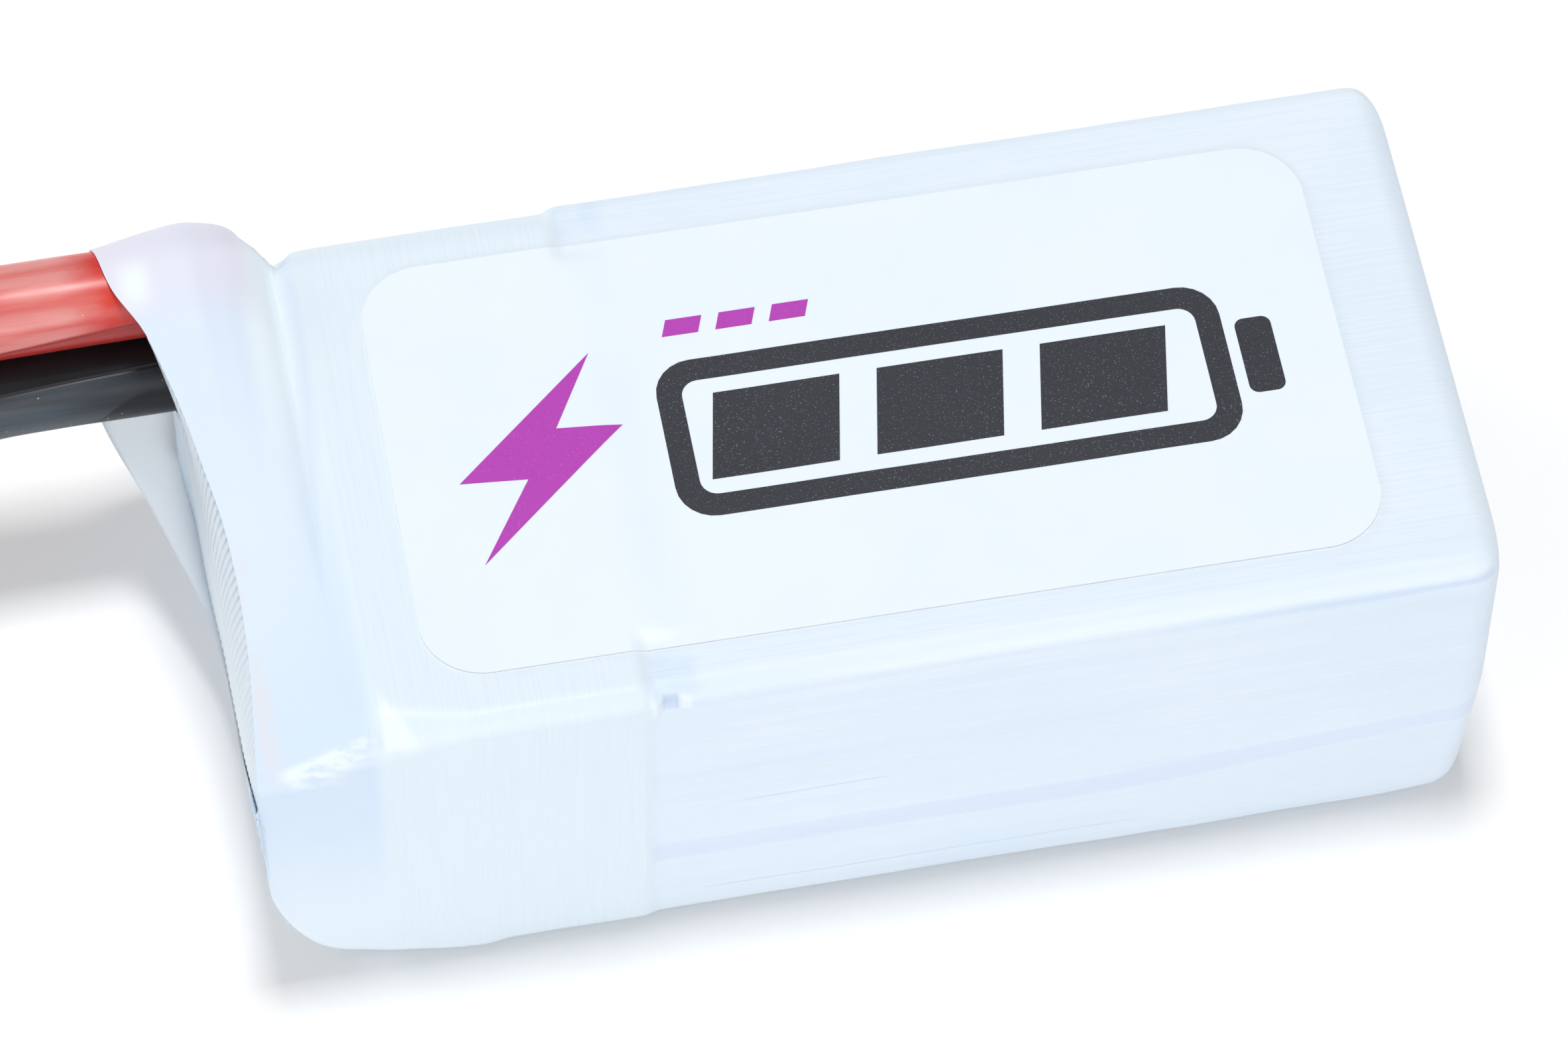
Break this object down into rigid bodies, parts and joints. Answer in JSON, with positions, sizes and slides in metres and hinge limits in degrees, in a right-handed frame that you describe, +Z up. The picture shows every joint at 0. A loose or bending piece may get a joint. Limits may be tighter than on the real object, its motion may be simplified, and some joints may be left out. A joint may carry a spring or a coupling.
{
  "type": "lipo battery pack",
  "caption": "Soft-cased flat lithium-polymer battery pack in milky shrink film, with a white label, red and black silicone leads and a two-pole plug.",
  "frame": {"origin": "middle of the bounding box's underside, measured without the free leads and plug", "axes": "+Z up through the label, +X along the pack away from the leads, -Y towards the front long side"},
  "size_m": [0.1514, 0.0376, 0.0246],
  "materials": {
    "film": "milky translucent heat-shrink film, glossy with fine stretch lines",
    "label": null,
    "red_silicone": "glossy red silicone insulation",
    "black_silicone": "glossy black silicone insulation",
    "red_shrink": "red heat-shrink tube, satin",
    "black_shrink": "black heat-shrink tube, satin",
    "pouch": "aluminium laminate pouch, soft sheen",
    "foam": "white adhesive foam",
    "tape": "white filament tape with parallel ribs",
    "tab_aluminium": "rolled aluminium foil tab",
    "tab_nickel": "nickel-plated copper tab",
    "board": "green glass-epoxy board with solder mask",
    "copper": "bare copper pad",
    "solder": "bright solder",
    "tinned_copper": "tinned stranded copper",
    "sealant": "white silicone sealant",
    "nylon": "yellow moulded nylon",
    "gold": "gold-plated contact"
  },
  "bodies": {
    "root": {"shrink_sleeve": "film", "label_sticker": "label", "red_lead": "red_silicone", "black_lead": "black_silicone", "cell_bottom": "pouch", "cell_middle": "pouch", "cell_top": "pouch", "foam_pad_lower": "foam", "foam_pad_upper": "foam", "wrap_tape": "tape", "end_cover_tape": "tape", "tab_board": "board", "lead_sealant": "sealant", "plug_housing": "nylon", "contact_positive": "gold", "contact_negative": "gold", "red_heat_shrink": "red_shrink", "black_heat_shrink": "black_shrink", "red_board_solder": "solder", "red_copper_board_end": "tinned_copper", "red_copper_plug_end": "tinned_copper", "black_board_solder": "solder", "black_copper_board_end": "tinned_copper", "black_copper_plug_end": "tinned_copper", "balance_pad_1": "copper", "balance_pad_2": "copper", "balance_pad_3": "copper", "balance_pad_4": "copper", "tab_bottom_positive": "tab_aluminium", "tab_bottom_negative": "tab_nickel", "tab_joint_bottom_positive": "solder", "tab_joint_bottom_negative": "solder", "tab_middle_positive": "tab_aluminium", "tab_middle_negative": "tab_nickel", "tab_joint_middle_positive": "solder", "tab_joint_middle_negative": "solder", "tab_top_positive": "tab_aluminium", "tab_top_negative": "tab_nickel", "tab_joint_top_positive": "solder", "tab_joint_top_negative": "solder"}
  },
  "joints": []
}
